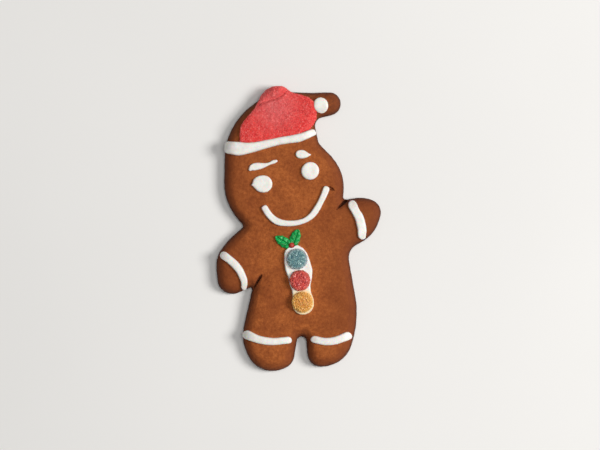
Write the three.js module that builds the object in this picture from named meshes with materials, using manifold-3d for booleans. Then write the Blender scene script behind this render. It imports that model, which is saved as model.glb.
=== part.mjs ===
// A gingerbread man in a red and white winter hat: one thick, soft biscuit with a
// piped icing face, iced bands round its arms and legs, three sugared jelly
// buttons set in icing, and a sprig of moulded sugar holly above them.
//
// Millimetres, +Z up. It lies on its flat underside with the iced side up and its
// head towards +Y. The origin is on the underside, in the middle of its length and
// width.

import * as THREE from 'three';
import { mergeVertices } from 'three/addons/utils/BufferGeometryUtils.js';
import Module from 'manifold-3d';

const wasm = await Module();
wasm.setup();

// ---------------------------------------------------------------------------
// Driving dimensions
// ---------------------------------------------------------------------------

const THICKNESS = 12; // the biscuit, underside to iced top
const EDGE_ROUND = 8; // how far in from its edge the top begins to fall away
const EDGE_DROP = 7.8; // how far it has fallen at the edge
const FOOT_ROUND = 1.5; // small round along the underside
const GAP = 0.3; // left where a piece runs over the rounded edge or meets another
const FULL_GAP_AT = 0.15; // share of the way over that edge by which the gap is whole

// Icing: how thick it is, how far in from its outline it begins to round down, and
// how blunt the ends of a piped stroke are (2 is round, and more is squarer)
const HAT_ICING = { thick: 1.8, round: 2.4 };
const BRIM = { thick: 3.4, round: 3.6, blunt: 3.6 };
const POMPOM = { thick: 3.8, round: 5.4, blunt: 2 };
const EYE = { thick: 2.4, round: 4, blunt: 2 };
const BROW = { thick: 2, round: 2.2, blunt: 2 };
const SMILE = { thick: 2.5, round: 2.2, blunt: 2.8 };
const BAND = { thick: 2.6, round: 2.6, blunt: 2.3 };
const BUTTON_ICING = { thick: 2.4, round: 2 };
const RIM = 0.4; // height of the little wall all round a patch of icing
const CUT_FLOOR = -2; // how far a cutting shape reaches down into the biscuit
const CREASE_TOP = 0.3; // how far the wedge that cuts a crease stands above the biscuit

// The raised fold where the top of the hat flops over
const FOLD = { from: [-30.5, 93], to: [-8.6, 103], rise: 1.8, width: 3 };

// Jelly buttons: pressed into the icing down to BUTTON_SEAT above the biscuit
const BUTTON = { radius: 7.6, height: 5.6 };
const BUTTON_SEAT = 1;
const BUTTON_SIDES = 22;
const BUTTONS = {
  candy_blue: [-1, -22.7],
  candy_red: [1.2, -38.8],
  candy_yellow: [3.1, -54.9],
};

// Holly
const LEAF = { thick: 1.8, round: 1.8, blunt: 2 };
const LEAF_RELIEF = { vein: 0.5, wave: 0.45, waveLength: 4 };
const LEAF_SPINES = { count: 3, reach: 0.11 };
const BERRY = { at: [-5, -12.3], radius: 2.1, height: 3.4 };
const BERRY_SIDES = 12;

// The cutter's outline is a band drawn tight round a ring of pegs, taken
// anticlockwise. Each peg is [x, y, radius]. The band passes outside a peg with a
// positive radius, which makes a bulge, and bends the other way round a peg with
// a negative one, which makes a notch.
const CUTTER_PEGS = [
  [23.4, 94.1, 8.7], // drooping tip of the hat
  [11, 133, -30.7], // long dip along the top of the hat
  [-4.4, 106.3, -3.5], // notch beside the fold
  [-15.2, 99.5, 8], // fold
  [-36, 103.2, -9], // notch below the fold
  [-4.5, 52, 51], // back of the hat and temple
  [-15.5, 34.2, 40.3], // left cheek
  [-43.5, 2.1, -2], // neck, left
  [-12, -46, 55], // left shoulder
  [-41, -27.6, 20.8], // left hand, upper side
  [-49.6, -37.8, 11.4], // left hand, lower side
  [-35.5, -45, -1], // armpit, left
  [-8.9, -80, 32.8], // left leg, outer side
  [-19.2, -86.6, 20.7], // left foot
  [-12.3, -95.8, 9.2], // left foot, inner corner
  [2.5, -84.5, -3.5], // between the legs
  [17.3, -93.6, 10.5], // right foot, inner corner
  [18.5, -81.1, 22.6], // right foot
  [-20, -65, 64], // right leg, outer side
  [33, -58, 11], // right hip
  [48.4, -21.6, -10.4], // armpit, right
  [35.2, 13.6, 26.7], // right hand, lower side
  [52, 12.1, 10.3], // right hand
  [47, 1.1, 22.2], // right hand, upper side
  [35.6, 23.6, -1.8], // neck, right
  [2.2, 31.5, 32.1], // right cheek
  [-5.3, 28.1, 40.2], // right temple
  [19.5, 66.5, -4.5], // notch beside the brim
  [19, 77.5, -6.4], // notch under the tip of the hat
];

// Creases in the dough, where a limb meets the body and beside the smile: stations
// along each, as [x, y, width, depth]
const CREASES = [
  [
    [-27.8, -34.9, 0.5, 0.4],
    [-29.4, -37.6, 1.8, 2.8],
    [-31.2, -40.6, 1.9, 3.2],
    [-32.9, -43.6, 1, 1.4],
  ],
  [
    [28.6, 14.4, 0.5, 0.4],
    [31, 16.6, 1.6, 2.8],
    [33.4, 18.9, 2, 4.6],
    [35.4, 20.9, 2.4, 7],
  ],
  [
    [23.9, 30.4, 0.4, 0.3],
    [25.6, 29.8, 1.5, 1.4],
    [27.7, 29, 0.4, 0.3],
  ],
];

// Piped strokes: the stations of each centre line, as [x, y, width]
const BRIM_LINE = [
  [-49, 60.4, 9.6],
  [-44.6, 60, 10.4],
  [-36.2, 60.6, 8],
  [-24.9, 63.2, 6.4],
  [-13.7, 65.8, 5.8],
  [-0.6, 67.9, 6.3],
  [5.6, 70, 6],
  [9, 71.6, 5.4],
];
const SMILE_LINE = [
  [-25, 15.2, 4.9],
  [-22.4, 11.1, 4.8],
  [-19.4, 7.9, 5.1],
  [-15.8, 5.4, 5.3],
  [-10, 4.1, 4.7],
  [-3, 4.2, 4.2],
  [3.9, 5.8, 4],
  [9.2, 9, 4.5],
  [13, 13.4, 4.9],
  [16.5, 19.7, 4.5],
  [19.1, 25, 4.7],
  [20.8, 29.4, 5],
];
const BROW_LINES = {
  eyebrow_left: [
    [-36, 44.5, 2.6],
    [-34.9, 45.6, 4.6],
    [-32.6, 46.5, 5.5],
    [-29, 47, 5],
    [-25.6, 47.6, 3.6],
    [-23, 48.3, 2.3],
    [-20.8, 49.2, 2.1],
    [-18.6, 50.1, 3],
    [-16.6, 50.7, 2],
  ],
  eyebrow_right: [
    [1.2, 55.9, 6.4],
    [3.4, 55.8, 6.4],
    [5.4, 55.5, 5],
    [7.4, 55.4, 2.9],
    [9, 55.5, 1.2],
  ],
};
const EYE_LINES = {
  eye_left: [
    [-34.2, 32.9, 2],
    [-33.6, 33, 5.2],
    [-32.6, 33.3, 8],
    [-31.2, 33.5, 10.4],
    [-29.2, 33.6, 12.3],
    [-26, 33.6, 13.2],
  ],
  eye_right: [
    [8.8, 43.3, 13.5],
    [9, 43.5, 13.5],
  ],
};
const POMPOM_LINE = [
  [16.6, 92.6, 10.8],
  [17.1, 92.6, 10.8],
];
const BAND_LINES = {
  arm_band_left: [
    [-55, -20.6, 6],
    [-51.9, -22.9, 5.7],
    [-47.6, -26.8, 6],
    [-44.1, -31.1, 5.7],
    [-41.6, -36.4, 5.5],
    [-40.6, -40, 4.9],
    [-41.1, -43.2, 3.9],
  ],
  arm_band_right: [
    [40.9, 17, 6.8],
    [43.1, 12.8, 6.4],
    [45.7, 8.2, 6.8],
    [46.9, 3.9, 7],
    [47.7, -0.6, 6.6],
    [47.5, -4.4, 5.8],
  ],
  leg_band_left: [
    [-37.6, -79.8, 6.6],
    [-30, -83, 6],
    [-19, -84.6, 5.6],
    [-8, -83.6, 5.4],
  ],
  leg_band_right: [
    [36.4, -80.4, 6.2],
    [28, -83.8, 6],
    [19.5, -84.6, 5.6],
    [12.4, -83, 5.4],
  ],
};

// Holly leaves, from base to tip
const LEAF_LINES = {
  holly_leaf_left: [
    [-7.6, -13.3, 5.4],
    [-9.8, -11.6, 6.9],
    [-12.3, -9.4, 7],
    [-14.6, -7.5, 5.3],
    [-16, -6.5, 2.8],
  ],
  holly_leaf_right: [
    [-2.9, -11, 4.8],
    [-2.3, -8.9, 6.8],
    [-1.5, -5.9, 7.3],
    [-0.8, -3.2, 5.6],
    [-0.5, -1.8, 3],
  ],
};

// Spread icing: points along its left and right edges, row by row
const HAT_ICING_EDGES = {
  left: [
    [-43.8, 60],
    [-44, 69],
    [-43.2, 76],
    [-41.2, 79.6],
    [-37.3, 84.4],
    [-33.6, 88.7],
    [-30.2, 93],
    [-28.4, 96.4],
    [-27, 99.8],
    [-23.8, 103],
    [-20.2, 105.4],
    [-16.4, 106.4],
  ],
  right: [
    [1.5, 65],
    [8.4, 75],
    [13.8, 84.6],
    [12.6, 92.2],
    [10.6, 96.4],
    [4, 99.4],
    [-4.8, 101.4],
    [-7.6, 103],
    [-9.6, 104.8],
    [-12.8, 106.3],
  ],
};
const BUTTON_ICING_EDGES = {
  left: [
    [-6, -12.6],
    [-9.9, -15.6],
    [-10.7, -23.4],
    [-10.1, -30.2],
    [-7.2, -37.6],
    [-6.6, -41.8],
    [-4.8, -46.3],
    [-4.4, -52],
    [-4.6, -58],
    [-2.4, -62.2],
    [1.4, -64.4],
  ],
  right: [
    [-1, -11.8],
    [4.9, -15.6],
    [8.7, -24],
    [10.8, -32],
    [9.8, -39.2],
    [8.8, -45.4],
    [11.4, -51.6],
    [11.7, -58],
    [9.2, -62.4],
    [5.2, -64.5],
  ],
};

const FINISHES = {
  gingerbread: { color: 0x9b562e, roughness: 0.85 },
  whiteIcing: { color: 0xeeeae4, roughness: 0.5 },
  redIcing: { color: 0xdc4e4c, roughness: 0.8 },
  blueJelly: { color: 0x6c8989, roughness: 0.7 },
  redJelly: { color: 0xc1504a, roughness: 0.7 },
  yellowJelly: { color: 0xd0964a, roughness: 0.7 },
  leaf: { color: 0x228c48, roughness: 0.35 },
  berry: { color: 0xc8322d, roughness: 0.35 },
};

// ---------------------------------------------------------------------------
// The cutter's outline
// ---------------------------------------------------------------------------

// Points along the band round the pegs, no more than `step` and `turn` apart,
// each with the direction into the biscuit.
function bandRound(pegs, step, turn) {
  const next = (i) => pegs[(i + 1) % pegs.length];

  // Direction into the biscuit on the straight run that leaves each peg
  const leaving = pegs.map(([x, y, radius], i) => {
    const [nextX, nextY, nextRadius] = next(i);
    const apart = Math.hypot(nextX - x, nextY - y);
    const heading = Math.atan2(nextY - y, nextX - x);
    return heading + Math.acos((nextRadius - radius) / apart);
  });

  const points = [];
  pegs.forEach(([x, y, radius], i) => {
    const arriving = leaving[(i + pegs.length - 1) % pegs.length];
    const fullTurn = 2 * Math.PI;
    let sweep = (((leaving[i] - arriving) % fullTurn) + fullTurn) % fullTurn;
    if (radius < 0) sweep -= fullTurn;
    const steps = Math.ceil(Math.max(Math.abs(sweep) / turn, Math.abs(sweep * radius) / step));
    for (let k = 0; k <= steps; k += 1) {
      const angle = arriving + (sweep * k) / steps;
      const nx = Math.cos(angle);
      const ny = Math.sin(angle);
      points.push({ x: x - radius * nx, y: y - radius * ny, nx, ny });
    }

    // The straight run to the next peg
    const [nextX, nextY, nextRadius] = next(i);
    const from = points[points.length - 1];
    const toX = nextX - nextRadius * from.nx;
    const toY = nextY - nextRadius * from.ny;
    const pieces = Math.ceil(Math.hypot(toX - from.x, toY - from.y) / step);
    for (let k = 1; k < pieces; k += 1) {
      const share = k / pieces;
      const x1 = from.x + (toX - from.x) * share;
      const y1 = from.y + (toY - from.y) * share;
      points.push({ x: x1, y: y1, nx: from.nx, ny: from.ny });
    }
  });
  return points;
}

const degrees = THREE.MathUtils.degToRad;
const OUTLINE = bandRound(CUTTER_PEGS, 4.5, degrees(19)); // sides of the biscuit
const FINE_OUTLINE = bandRound(CUTTER_PEGS, 0.8, degrees(6)); // to measure from
const FOOT_TURNS = [0, 45, 90].map(degrees); // levels round the foot
const EDGE_TURNS = [0, 22, 41, 58, 74, 90].map(degrees); // levels round the top edge
const END_TURNS = [9, 25, 44, 66].map(degrees); // rows round the end of a piped stroke

// The place on the biscuit's top over (x, y), lifted off it by `lift`. Past the
// edge the place runs on down the side wall.
function drape(x, y, lift) {
  let edge;
  let nearest = Infinity;
  for (const point of FINE_OUTLINE) {
    const away = Math.hypot(x - point.x, y - point.y);
    if (away < nearest) {
      nearest = away;
      edge = point;
    }
  }
  const depth = (x - edge.x) * edge.nx + (y - edge.y) * edge.ny;
  const fall = THREE.MathUtils.clamp(1 - depth / EDGE_ROUND, 0, 1);
  const stand = Math.sqrt(1 - fall * fall);
  const normal = new THREE.Vector2(fall / EDGE_ROUND, stand / EDGE_DROP).normalize();
  const down = Math.min(depth, 0);
  const z = THICKNESS - EDGE_DROP * (1 - stand) + down;
  const clear = lift + GAP * Math.min(1, fall / FULL_GAP_AT);
  return new THREE.Vector3(
    x - down * edge.nx - normal.x * clear * edge.nx,
    y - down * edge.ny - normal.x * clear * edge.ny,
    z + normal.y * clear,
  );
}

// ---------------------------------------------------------------------------
// Building closed solids
// ---------------------------------------------------------------------------

function solid(points, triangles) {
  const geometry = new THREE.BufferGeometry();
  geometry.setFromPoints(points);
  geometry.setIndex(triangles);
  geometry.computeVertexNormals();
  return geometry;
}

// Two triangles for the quad a-b-c-d
function quad(triangles, a, b, c, d) {
  triangles.push(a, b, c, a, c, d);
}

// Shortest way from (x, y) to a closed ring of points
function distanceToRing(x, y, ring) {
  let nearest = Infinity;
  ring.forEach((a, i) => {
    const b = ring[(i + 1) % ring.length];
    const dx = b.x - a.x;
    const dy = b.y - a.y;
    const run = dx * dx + dy * dy;
    const share = run > 0 ? ((x - a.x) * dx + (y - a.y) * dy) / run : 0;
    const t = THREE.MathUtils.clamp(share, 0, 1);
    nearest = Math.min(nearest, Math.hypot(x - a.x - dx * t, y - a.y - dy * t));
  });
  return nearest;
}

// A patch of icing laid over the biscuit. `rows` run across it, all with the same
// number of THREE.Vector2, the left end first. It is `thick` high, and rounds down
// to its rim over the last `round` all along its outline. `floor` is where its
// underside lies, and `relief` adds to its height.
function patch(rows, { thick, round }, { floor = 0, relief = () => 0 } = {}) {
  const columns = rows[0].length;
  const last = rows.length - 1;
  const ring = [
    ...rows[0],
    ...rows.slice(1).map((row) => row[columns - 1]),
    ...rows[last].slice(0, -1).reverse(),
    ...rows.slice(1, -1).reverse().map((row) => row[0]),
  ];
  const top = rows.flat().map(({ x, y }) => {
    const inside = Math.min(distanceToRing(x, y, ring) / round, 1);
    const swell = Math.sqrt(1 - (1 - inside) ** 2);
    const place = drape(x, y, RIM + (thick - RIM) * swell);
    place.z += relief(x, y) * swell;
    return place;
  });
  const under = rows.flat().map(({ x, y }) => drape(x, y, floor));

  const triangles = [];
  const upper = (i, j) => i * columns + j;
  const lower = (i, j) => top.length + i * columns + j;
  for (let i = 0; i < last; i += 1) {
    for (let j = 0; j < columns - 1; j += 1) {
      quad(triangles, upper(i, j), upper(i, j + 1), upper(i + 1, j + 1), upper(i + 1, j));
      quad(triangles, lower(i, j), lower(i + 1, j), lower(i + 1, j + 1), lower(i, j + 1));
    }
    const right = columns - 1;
    quad(triangles, upper(i, 0), upper(i + 1, 0), lower(i + 1, 0), lower(i, 0));
    quad(triangles, lower(i, right), lower(i + 1, right), upper(i + 1, right), upper(i, right));
  }
  for (let j = 0; j < columns - 1; j += 1) {
    quad(triangles, lower(0, j), lower(0, j + 1), upper(0, j + 1), upper(0, j));
    quad(triangles, upper(last, j), upper(last, j + 1), lower(last, j + 1), lower(last, j));
  }
  return solid([...top, ...under], triangles);
}

// Places from 0 to 1 that crowd together towards both ends
function crowded(count) {
  return Array.from({ length: count + 1 }, (_, i) => (1 - Math.cos((Math.PI * i) / count)) / 2);
}

// Rows across a piped stroke, `steps` of them from each station to the next. Its ends
// are round where `blunt` is 2, and squarer above that. `grow` makes it that much
// larger all round, which is the shape that clears it.
function strokeRows(line, { steps, columns, blunt, grow = 0 }) {
  const stations = line.map(([x, y, width]) => new THREE.Vector3(x, y, width / 2 + grow));
  const path = new THREE.CatmullRomCurve3(stations, false, 'centripetal');
  const across = crowded(columns);
  const row = (share, ahead, narrow) => {
    const centre = path.getPoint(share);
    const along = path.getTangent(share).setZ(0).normalize();
    const half = centre.z * narrow;
    const reach = centre.z * ahead;
    return across.map((place) => {
      const side = half * (1 - 2 * place);
      return new THREE.Vector2(
        centre.x + along.x * reach - along.y * side,
        centre.y + along.y * reach + along.x * side,
      );
    });
  };
  const power = 2 / blunt;
  const ends = END_TURNS.map((turn) => [Math.cos(turn) ** power, Math.sin(turn) ** power]);
  const start = ends.map(([ahead, narrow]) => row(0, -ahead, narrow));
  const count = (line.length - 1) * steps;
  const middle = Array.from({ length: count + 1 }, (_, i) => row(i / count, 0, 1));
  const finish = ends.toReversed().map(([ahead, narrow]) => row(1, ahead, narrow));
  return [...start, ...middle, ...finish];
}

// Rows across spread icing between a left and a right edge, from the bottom up
function spreadRows({ left, right }, { rows, columns, grow = 0 }) {
  const curve = (edge, shift) =>
    new THREE.CatmullRomCurve3(
      edge.map(([x, y]) => new THREE.Vector3(x + shift, y, 0)),
      false,
      'centripetal',
    );
  const leftCurve = curve(left, -grow);
  const rightCurve = curve(right, grow);
  const across = crowded(columns);
  return crowded(rows).map((share) => {
    const from = leftCurve.getPoint(share);
    const to = rightCurve.getPoint(share);
    return across.map((place) => {
      const point = from.clone().lerp(to, place);
      return new THREE.Vector2(point.x, point.y);
    });
  });
}

// Manifold-3d in and out
function toManifold(geometry) {
  const bare = geometry.clone();
  bare.deleteAttribute('normal');
  bare.deleteAttribute('uv');
  const merged = mergeVertices(bare, 1e-4);
  return new wasm.Manifold(
    new wasm.Mesh({
      numProp: 3,
      vertProperties: new Float32Array(merged.attributes.position.array),
      triVerts: new Uint32Array(merged.index.array),
    }),
  );
}

function fromManifold(manifold) {
  const { vertProperties, triVerts, numProp } = manifold.getMesh();
  const points = [];
  for (let i = 0; i < vertProperties.length; i += numProp) {
    points.push(new THREE.Vector3(...vertProperties.slice(i, i + 3)));
  }
  return solid(points, Array.from(triVerts));
}

// What is left of a solid once its neighbours' clearances are cut away
function cut(geometry, ...clearances) {
  const left = clearances.reduce(
    (rest, clearance) => rest.subtract(toManifold(clearance)),
    toManifold(geometry),
  );
  return fromManifold(left);
}

// ---------------------------------------------------------------------------
// The pieces
// ---------------------------------------------------------------------------

// The biscuit: rings of the outline, one above another, drawn in towards the top
// and the foot. `grow` moves its sides out, and not its top.
function gingerbread(grow = 0) {
  const wallTop = THICKNESS - EDGE_DROP;
  const levels = [];
  for (const turn of FOOT_TURNS) {
    levels.push([FOOT_ROUND * (1 - Math.sin(turn)), FOOT_ROUND * (1 - Math.cos(turn))]);
  }
  for (const turn of EDGE_TURNS) {
    levels.push([EDGE_ROUND * (1 - Math.cos(turn)), wallTop + EDGE_DROP * Math.sin(turn)]);
  }
  const count = OUTLINE.length;
  const points = levels.flatMap(([inset, z]) =>
    OUTLINE.map(({ x, y, nx, ny }) => {
      const inward = inset - grow;
      return new THREE.Vector3(x + nx * inward, y + ny * inward, z);
    }),
  );

  const triangles = [];
  for (let level = 0; level < levels.length - 1; level += 1) {
    for (let i = 0; i < count; i += 1) {
      const j = (i + 1) % count;
      const low = level * count;
      quad(triangles, low + i, low + j, low + count + j, low + count + i);
    }
  }
  const face = (start) => {
    const ring = points.slice(start, start + count).map((p) => new THREE.Vector2(p.x, p.y));
    return THREE.ShapeUtils.triangulateShape(ring, []);
  };
  const topStart = (levels.length - 1) * count;
  face(topStart).forEach(([a, b, c]) => triangles.push(topStart + a, topStart + b, topStart + c));
  face(0).forEach(([a, b, c]) => triangles.push(a, c, b));
  return solid(points, triangles);
}

// The wedge of air in a crease of the dough, from above the biscuit down to a sharp
// bottom edge. It is widest at the top.
function crease(stations) {
  const points = stations.flatMap(([x, y, width, depth], i) => {
    const [fromX, fromY] = stations[Math.max(i - 1, 0)];
    const [toX, toY] = stations[Math.min(i + 1, stations.length - 1)];
    const along = new THREE.Vector2(toX - fromX, toY - fromY).normalize();
    const slope = (width / 2) * (1 + CREASE_TOP / depth);
    return [
      new THREE.Vector3(x - along.y * slope, y + along.x * slope, THICKNESS + CREASE_TOP),
      new THREE.Vector3(x + along.y * slope, y - along.x * slope, THICKNESS + CREASE_TOP),
      new THREE.Vector3(x, y, THICKNESS - depth),
    ];
  });
  const last = points.length - 3;
  const triangles = [0, 2, 1, last, last + 1, last + 2];
  for (let start = 0; start < last; start += 3) {
    for (let side = 0; side < 3; side += 1) {
      const next = (side + 1) % 3;
      quad(triangles, start + side, start + next, start + 3 + next, start + 3 + side);
    }
  }
  return solid(points, triangles);
}

function brim(grow = 0) {
  const rows = strokeRows(BRIM_LINE, { steps: 3, columns: 7, blunt: BRIM.blunt, grow });
  const size = { thick: BRIM.thick + grow, round: BRIM.round };
  return patch(rows, size, { floor: grow > 0 ? CUT_FLOOR : 0 });
}

// How far the fold stands up at (x, y): nothing below its crease, all of it above
function foldRise(x, y) {
  const from = new THREE.Vector2(...FOLD.from);
  const along = new THREE.Vector2(...FOLD.to).sub(from).normalize();
  const above = (y - from.y) * along.x - (x - from.x) * along.y;
  return FOLD.rise * THREE.MathUtils.smoothstep(above, 0, FOLD.width);
}

function hatIcing(grow = 0) {
  const rows = spreadRows(HAT_ICING_EDGES, { rows: 20, columns: 13, grow });
  const floor = grow > 0 ? CUT_FLOOR : 0;
  return patch(rows, HAT_ICING, { floor, relief: foldRise });
}

function pompom() {
  return patch(strokeRows(POMPOM_LINE, { steps: 2, columns: 9, blunt: POMPOM.blunt }), POMPOM);
}

// A holly leaf: spines along its sides, gently wavy, with a groove for its middle vein
function leaf(line, grow = 0) {
  const rows = strokeRows(line, { steps: 3, columns: 4, blunt: LEAF.blunt, grow });
  const size = { thick: LEAF.thick + grow, round: LEAF.round };
  const base = new THREE.Vector2(line[0][0], line[0][1]);
  const tip = new THREE.Vector2(line[line.length - 1][0], line[line.length - 1][1]);
  const along = tip.clone().sub(base).normalize();
  rows.forEach((row) => {
    const middle = row[0].clone().lerp(row[row.length - 1], 0.5);
    const share = middle.clone().sub(base).dot(along) / tip.distanceTo(base);
    const reach = 1 + LEAF_SPINES.reach * Math.cos(2 * Math.PI * LEAF_SPINES.count * share);
    row.forEach((point) => point.sub(middle).multiplyScalar(reach).add(middle));
  });
  const relief = (x, y) => {
    const from = new THREE.Vector2(x, y).sub(base);
    const aside = Math.abs(from.cross(along));
    const { vein, wave, waveLength } = LEAF_RELIEF;
    const ripple = wave * Math.sin((2 * Math.PI * from.dot(along)) / waveLength);
    return ripple - vein * Math.max(0, 1 - aside);
  };
  return patch(rows, size, { floor: grow > 0 ? CUT_FLOOR : 0, relief });
}

// A turned shape: `profile` gives [radius, height] from the axis round to the axis
function turned(profile, sides, [x, y], z) {
  const points = profile.map(([radius, height]) => new THREE.Vector2(radius, height));
  const geometry = new THREE.LatheGeometry(points, sides);
  geometry.rotateX(Math.PI / 2);
  geometry.translate(x, y, z);
  return geometry;
}

// A jelly button: short upright side, then a shallow dome
function jelly(at) {
  const { radius, height } = BUTTON;
  const profile = [
    [0, 0],
    [radius * 0.92, 0],
    [radius * 0.985, height * 0.14],
    [radius, height * 0.4],
    [radius * 0.95, height * 0.68],
    [radius * 0.8, height * 0.88],
    [radius * 0.5, height * 0.98],
    [0, height],
  ];
  return turned(profile, BUTTON_SIDES, at, THICKNESS + BUTTON_SEAT);
}

// The room a jelly button takes in the icing: a plain round pocket
function jellyPocket(at) {
  const radius = BUTTON.radius + GAP;
  const profile = [
    [0, 0],
    [radius, 0],
    [radius, BUTTON.height],
    [0, BUTTON.height],
  ];
  return turned(profile, BUTTON_SIDES, at, THICKNESS + BUTTON_SEAT);
}

// The berry, seated on the biscuit between the leaves
function berry(grow = 0) {
  const radius = BERRY.radius + grow;
  const height = BERRY.height + grow;
  const floor = grow > 0 ? CUT_FLOOR : 0;
  const profile = [
    [0, floor],
    [radius * 0.9, floor],
    [radius, height * 0.35],
    [radius * 0.85, height * 0.7],
    [radius * 0.45, height * 0.95],
    [0, height],
  ];
  return turned(profile, BERRY_SIDES, BERRY.at, THICKNESS);
}

function buttonIcing() {
  const leaves = Object.values(LEAF_LINES).map((line) => leaf(line, GAP));
  const pockets = Object.values(BUTTONS).map((at) => jellyPocket(at));
  const rows = spreadRows(BUTTON_ICING_EDGES, { rows: 16, columns: 7 });
  const icing = patch(rows.toReversed(), BUTTON_ICING);
  return cut(icing, ...pockets, ...leaves, berry(GAP));
}

// Icing that runs over the rounded edge, held clear of the biscuit there
function overEdge(icing, ...clearances) {
  return cut(icing, gingerbread(GAP / 2), ...clearances);
}

// ---------------------------------------------------------------------------
// Putting it together
// ---------------------------------------------------------------------------

const group = new THREE.Group();

function add(name, geometry, finish) {
  const material = new THREE.MeshStandardMaterial({ metalness: 0, ...finish });
  const mesh = new THREE.Mesh(geometry, material);
  mesh.name = name;
  group.add(mesh);
}

function addStrokes(lines, size, mesh) {
  Object.entries(lines).forEach(([name, line]) => {
    const rows = strokeRows(line, { ...mesh, blunt: size.blunt });
    add(name, overEdge(patch(rows, size)), FINISHES.whiteIcing);
  });
}

add('gingerbread', cut(gingerbread(), ...CREASES.map(crease)), FINISHES.gingerbread);
add('hat_icing', overEdge(hatIcing(), brim(GAP)), FINISHES.redIcing);
add('hat_brim', overEdge(brim()), FINISHES.whiteIcing);
add('pompom', overEdge(pompom(), hatIcing(GAP)), FINISHES.whiteIcing);
addStrokes(EYE_LINES, EYE, { steps: 1, columns: 8 });
addStrokes(BROW_LINES, BROW, { steps: 2, columns: 4 });
addStrokes({ smile: SMILE_LINE }, SMILE, { steps: 2, columns: 5 });
addStrokes(BAND_LINES, BAND, { steps: 3, columns: 5 });
add('button_icing', buttonIcing(), FINISHES.whiteIcing);
add('candy_blue', jelly(BUTTONS.candy_blue), FINISHES.blueJelly);
add('candy_red', jelly(BUTTONS.candy_red), FINISHES.redJelly);
add('candy_yellow', jelly(BUTTONS.candy_yellow), FINISHES.yellowJelly);
Object.entries(LEAF_LINES).forEach(([name, line]) => {
  add(name, cut(leaf(line), berry(GAP)), FINISHES.leaf);
});
add('holly_berry', berry(), FINISHES.berry);

export default group;
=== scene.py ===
"""A gingerbread man in a red and white winter hat, lying on a pale floor.

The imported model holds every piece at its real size. Here each piece gets its fine
shape and its finish: the baked crumb of the biscuit, the sugared hat, smooth piped
icing, jelly buttons rolled in sugar, and moulded sugar holly. Blender works in
metres: a length is given in metres, or in millimetres and multiplied by MM.
"""

import math
import random

import bmesh
import bpy
import numpy as np
from mathutils import Matrix, Vector, noise
from mathutils.bvhtree import BVHTree


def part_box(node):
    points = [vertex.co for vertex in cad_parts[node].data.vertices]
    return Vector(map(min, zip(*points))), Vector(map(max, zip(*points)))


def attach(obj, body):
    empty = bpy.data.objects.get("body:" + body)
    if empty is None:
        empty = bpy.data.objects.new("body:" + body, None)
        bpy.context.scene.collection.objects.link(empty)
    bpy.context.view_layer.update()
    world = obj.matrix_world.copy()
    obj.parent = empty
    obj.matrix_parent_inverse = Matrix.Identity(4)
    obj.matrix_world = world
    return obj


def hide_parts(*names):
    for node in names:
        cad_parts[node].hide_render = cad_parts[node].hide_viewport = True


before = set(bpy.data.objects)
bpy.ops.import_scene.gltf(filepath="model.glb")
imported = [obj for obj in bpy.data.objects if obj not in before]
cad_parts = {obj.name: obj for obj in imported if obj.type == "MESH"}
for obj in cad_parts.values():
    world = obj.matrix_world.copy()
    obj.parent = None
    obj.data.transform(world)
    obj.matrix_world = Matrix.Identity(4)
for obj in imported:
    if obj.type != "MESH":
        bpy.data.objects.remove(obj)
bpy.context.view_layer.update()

MM = 0.001
BODY = "root"  # nothing moves, so every piece rides on the one body
BISCUIT_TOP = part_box("gingerbread")[1].z

# ---------------------------------------------------------------------------
# Camera, light and floor
# ---------------------------------------------------------------------------

VIEW_WIDTH = 450 * MM  # what the camera takes in across the biscuit's top
VIEW_CENTRE = (1.3 * MM, 2.8 * MM)
LENS = 150  # millimetres, so the biscuit is seen almost without perspective
SENSOR = 36

# Lamps aim at the biscuit; places and sizes are in metres, power in watts
KEY = {"place": (2.1, 0.15, 1.9), "size": 1.2, "power": 67, "colour": (1, 0.985, 0.965)}
FRONT = {"place": (0.25, 0.2, 2.6), "size": 1.6, "power": 24, "colour": (1, 0.995, 0.985)}
AMBIENT = 0.11  # the strength of the even light from all round
BACKDROP = (0.93, 0.925, 0.915)  # what the camera sees past the floor's edge
FLOOR_SIDE = 12  # in metres


def set_camera():
    data = bpy.data.cameras.new("camera")
    data.lens = LENS
    data.sensor_width = SENSOR
    data.clip_end = 100
    camera = bpy.data.objects.new("camera", data)
    height = BISCUIT_TOP + VIEW_WIDTH * LENS / SENSOR
    camera.location = (*VIEW_CENTRE, height)
    bpy.context.scene.collection.objects.link(camera)
    bpy.context.scene.camera = camera


def add_lamp(name, place, size, power, colour):
    data = bpy.data.lights.new(name, "AREA")
    data.shape = "DISK"
    data.size = size
    data.energy = power
    data.color = colour
    lamp = bpy.data.objects.new(name, data)
    lamp.location = place
    lamp.rotation_euler = (-Vector(place)).to_track_quat("-Z", "Y").to_euler()
    lamp.visible_camera = False
    bpy.context.scene.collection.objects.link(lamp)


def set_studio():
    add_lamp("key_lamp", **KEY)
    add_lamp("front_lamp", **FRONT)
    world = bpy.data.worlds.new("studio")
    world.use_nodes = True
    tree = world.node_tree
    tree.nodes.clear()
    seen = add_node(tree, "ShaderNodeLightPath").outputs["Is Camera Ray"]
    dim = add_node(tree, "ShaderNodeBackground", {"Color": (1, 1, 1, 1), "Strength": AMBIENT})
    pale = add_node(tree, "ShaderNodeBackground", {"Color": (*BACKDROP, 1), "Strength": 1})
    both = add_node(tree, "ShaderNodeMixShader", {0: seen, 1: dim.outputs[0], 2: pale.outputs[0]})
    add_node(tree, "ShaderNodeOutputWorld", {"Surface": both.outputs[0]})
    bpy.context.scene.world = world
    bpy.context.scene.view_settings.view_transform = "Standard"
    bpy.context.scene.view_settings.look = "None"


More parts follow.
